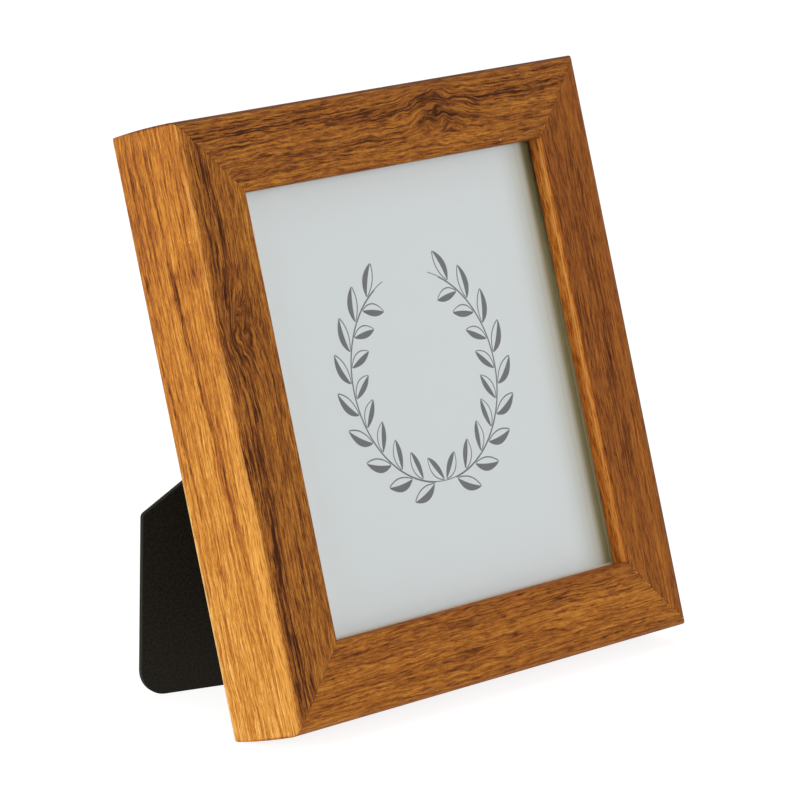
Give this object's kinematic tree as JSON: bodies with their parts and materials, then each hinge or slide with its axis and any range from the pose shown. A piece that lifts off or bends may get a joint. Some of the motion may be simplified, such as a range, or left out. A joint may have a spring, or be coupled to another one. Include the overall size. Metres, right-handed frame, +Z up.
{
  "type": "easel back photo frame",
  "caption": "Square wooden tabletop photo frame that leans back on a hinged easel strut, with a glass pane, a flush back panel and turn buttons behind.",
  "frame": {"origin": "centre of the footprint, at the height of the table that the frame stands on", "axes": "+Z up, +X to the right seen from the front, -Y towards the viewer; the frame leans back towards +Y"},
  "size_m": [0.198, 0.0906, 0.1971],
  "materials": {
    "wood_foil": "satin walnut grain foil on wood",
    "glass": "clear float glass",
    "print_paper": "matt pale grey-blue print",
    "grey_card": "grey board",
    "black_board": "black paper faced hardboard with raw brown edges",
    "hinge_steel": "nickel plated pressed steel",
    "button_steel": "nickel plated steel",
    "nail_steel": "bright sheet steel"
  },
  "bodies": {
    "frame": {"bottom_rail": "wood_foil", "left_rail": "wood_foil", "top_rail": "wood_foil", "right_rail": "wood_foil", "corner_nails": "nail_steel", "glass_pane": "glass", "print_sheet": "print_paper", "backing_card": "grey_card", "spacer_bottom": "grey_card", "spacer_left": "grey_card", "spacer_top": "grey_card", "spacer_right": "grey_card", "back_panel": "black_board", "hinge_panel_leaf": "hinge_steel", "hinge_pin": "hinge_steel", "panel_rivets": "hinge_steel", "turn_button_screws": "button_steel"},
    "strut": {"strut": "black_board", "hinge_strut_leaf": "hinge_steel", "strut_rivets": "hinge_steel"},
    "button_top": {"turn_button_top": "button_steel"},
    "button_right": {"turn_button_right": "button_steel"},
    "button_bottom": {"turn_button_bottom": "button_steel"},
    "button_left": {"turn_button_left": "button_steel"}
  },
  "joints": [
    {"name": "strut_fold", "type": "hinge", "parent": "frame", "child": "strut", "pos_m": [0.0143, 0.01105, 0.09714], "axis": [-0.6811, 0.192, 0.7065], "range_deg": [0, 25]},
    {"name": "button_top_turn", "type": "hinge", "parent": "frame", "child": "button_top", "pos_m": [0, 0.03165, 0.17926], "axis": [0, 0.965, -0.2622], "continuous": true},
    {"name": "button_right_turn", "type": "hinge", "parent": "frame", "child": "button_right", "pos_m": [0.08785, 0.00862, 0.09448], "axis": [0, 0.965, -0.2622], "continuous": true},
    {"name": "button_bottom_turn", "type": "hinge", "parent": "frame", "child": "button_bottom", "pos_m": [0.024, -0.01441, 0.00971], "axis": [0, 0.965, -0.2622], "continuous": true},
    {"name": "button_left_turn", "type": "hinge", "parent": "frame", "child": "button_left", "pos_m": [-0.08785, 0.00862, 0.09448], "axis": [0, 0.965, -0.2622], "continuous": true}
  ]
}
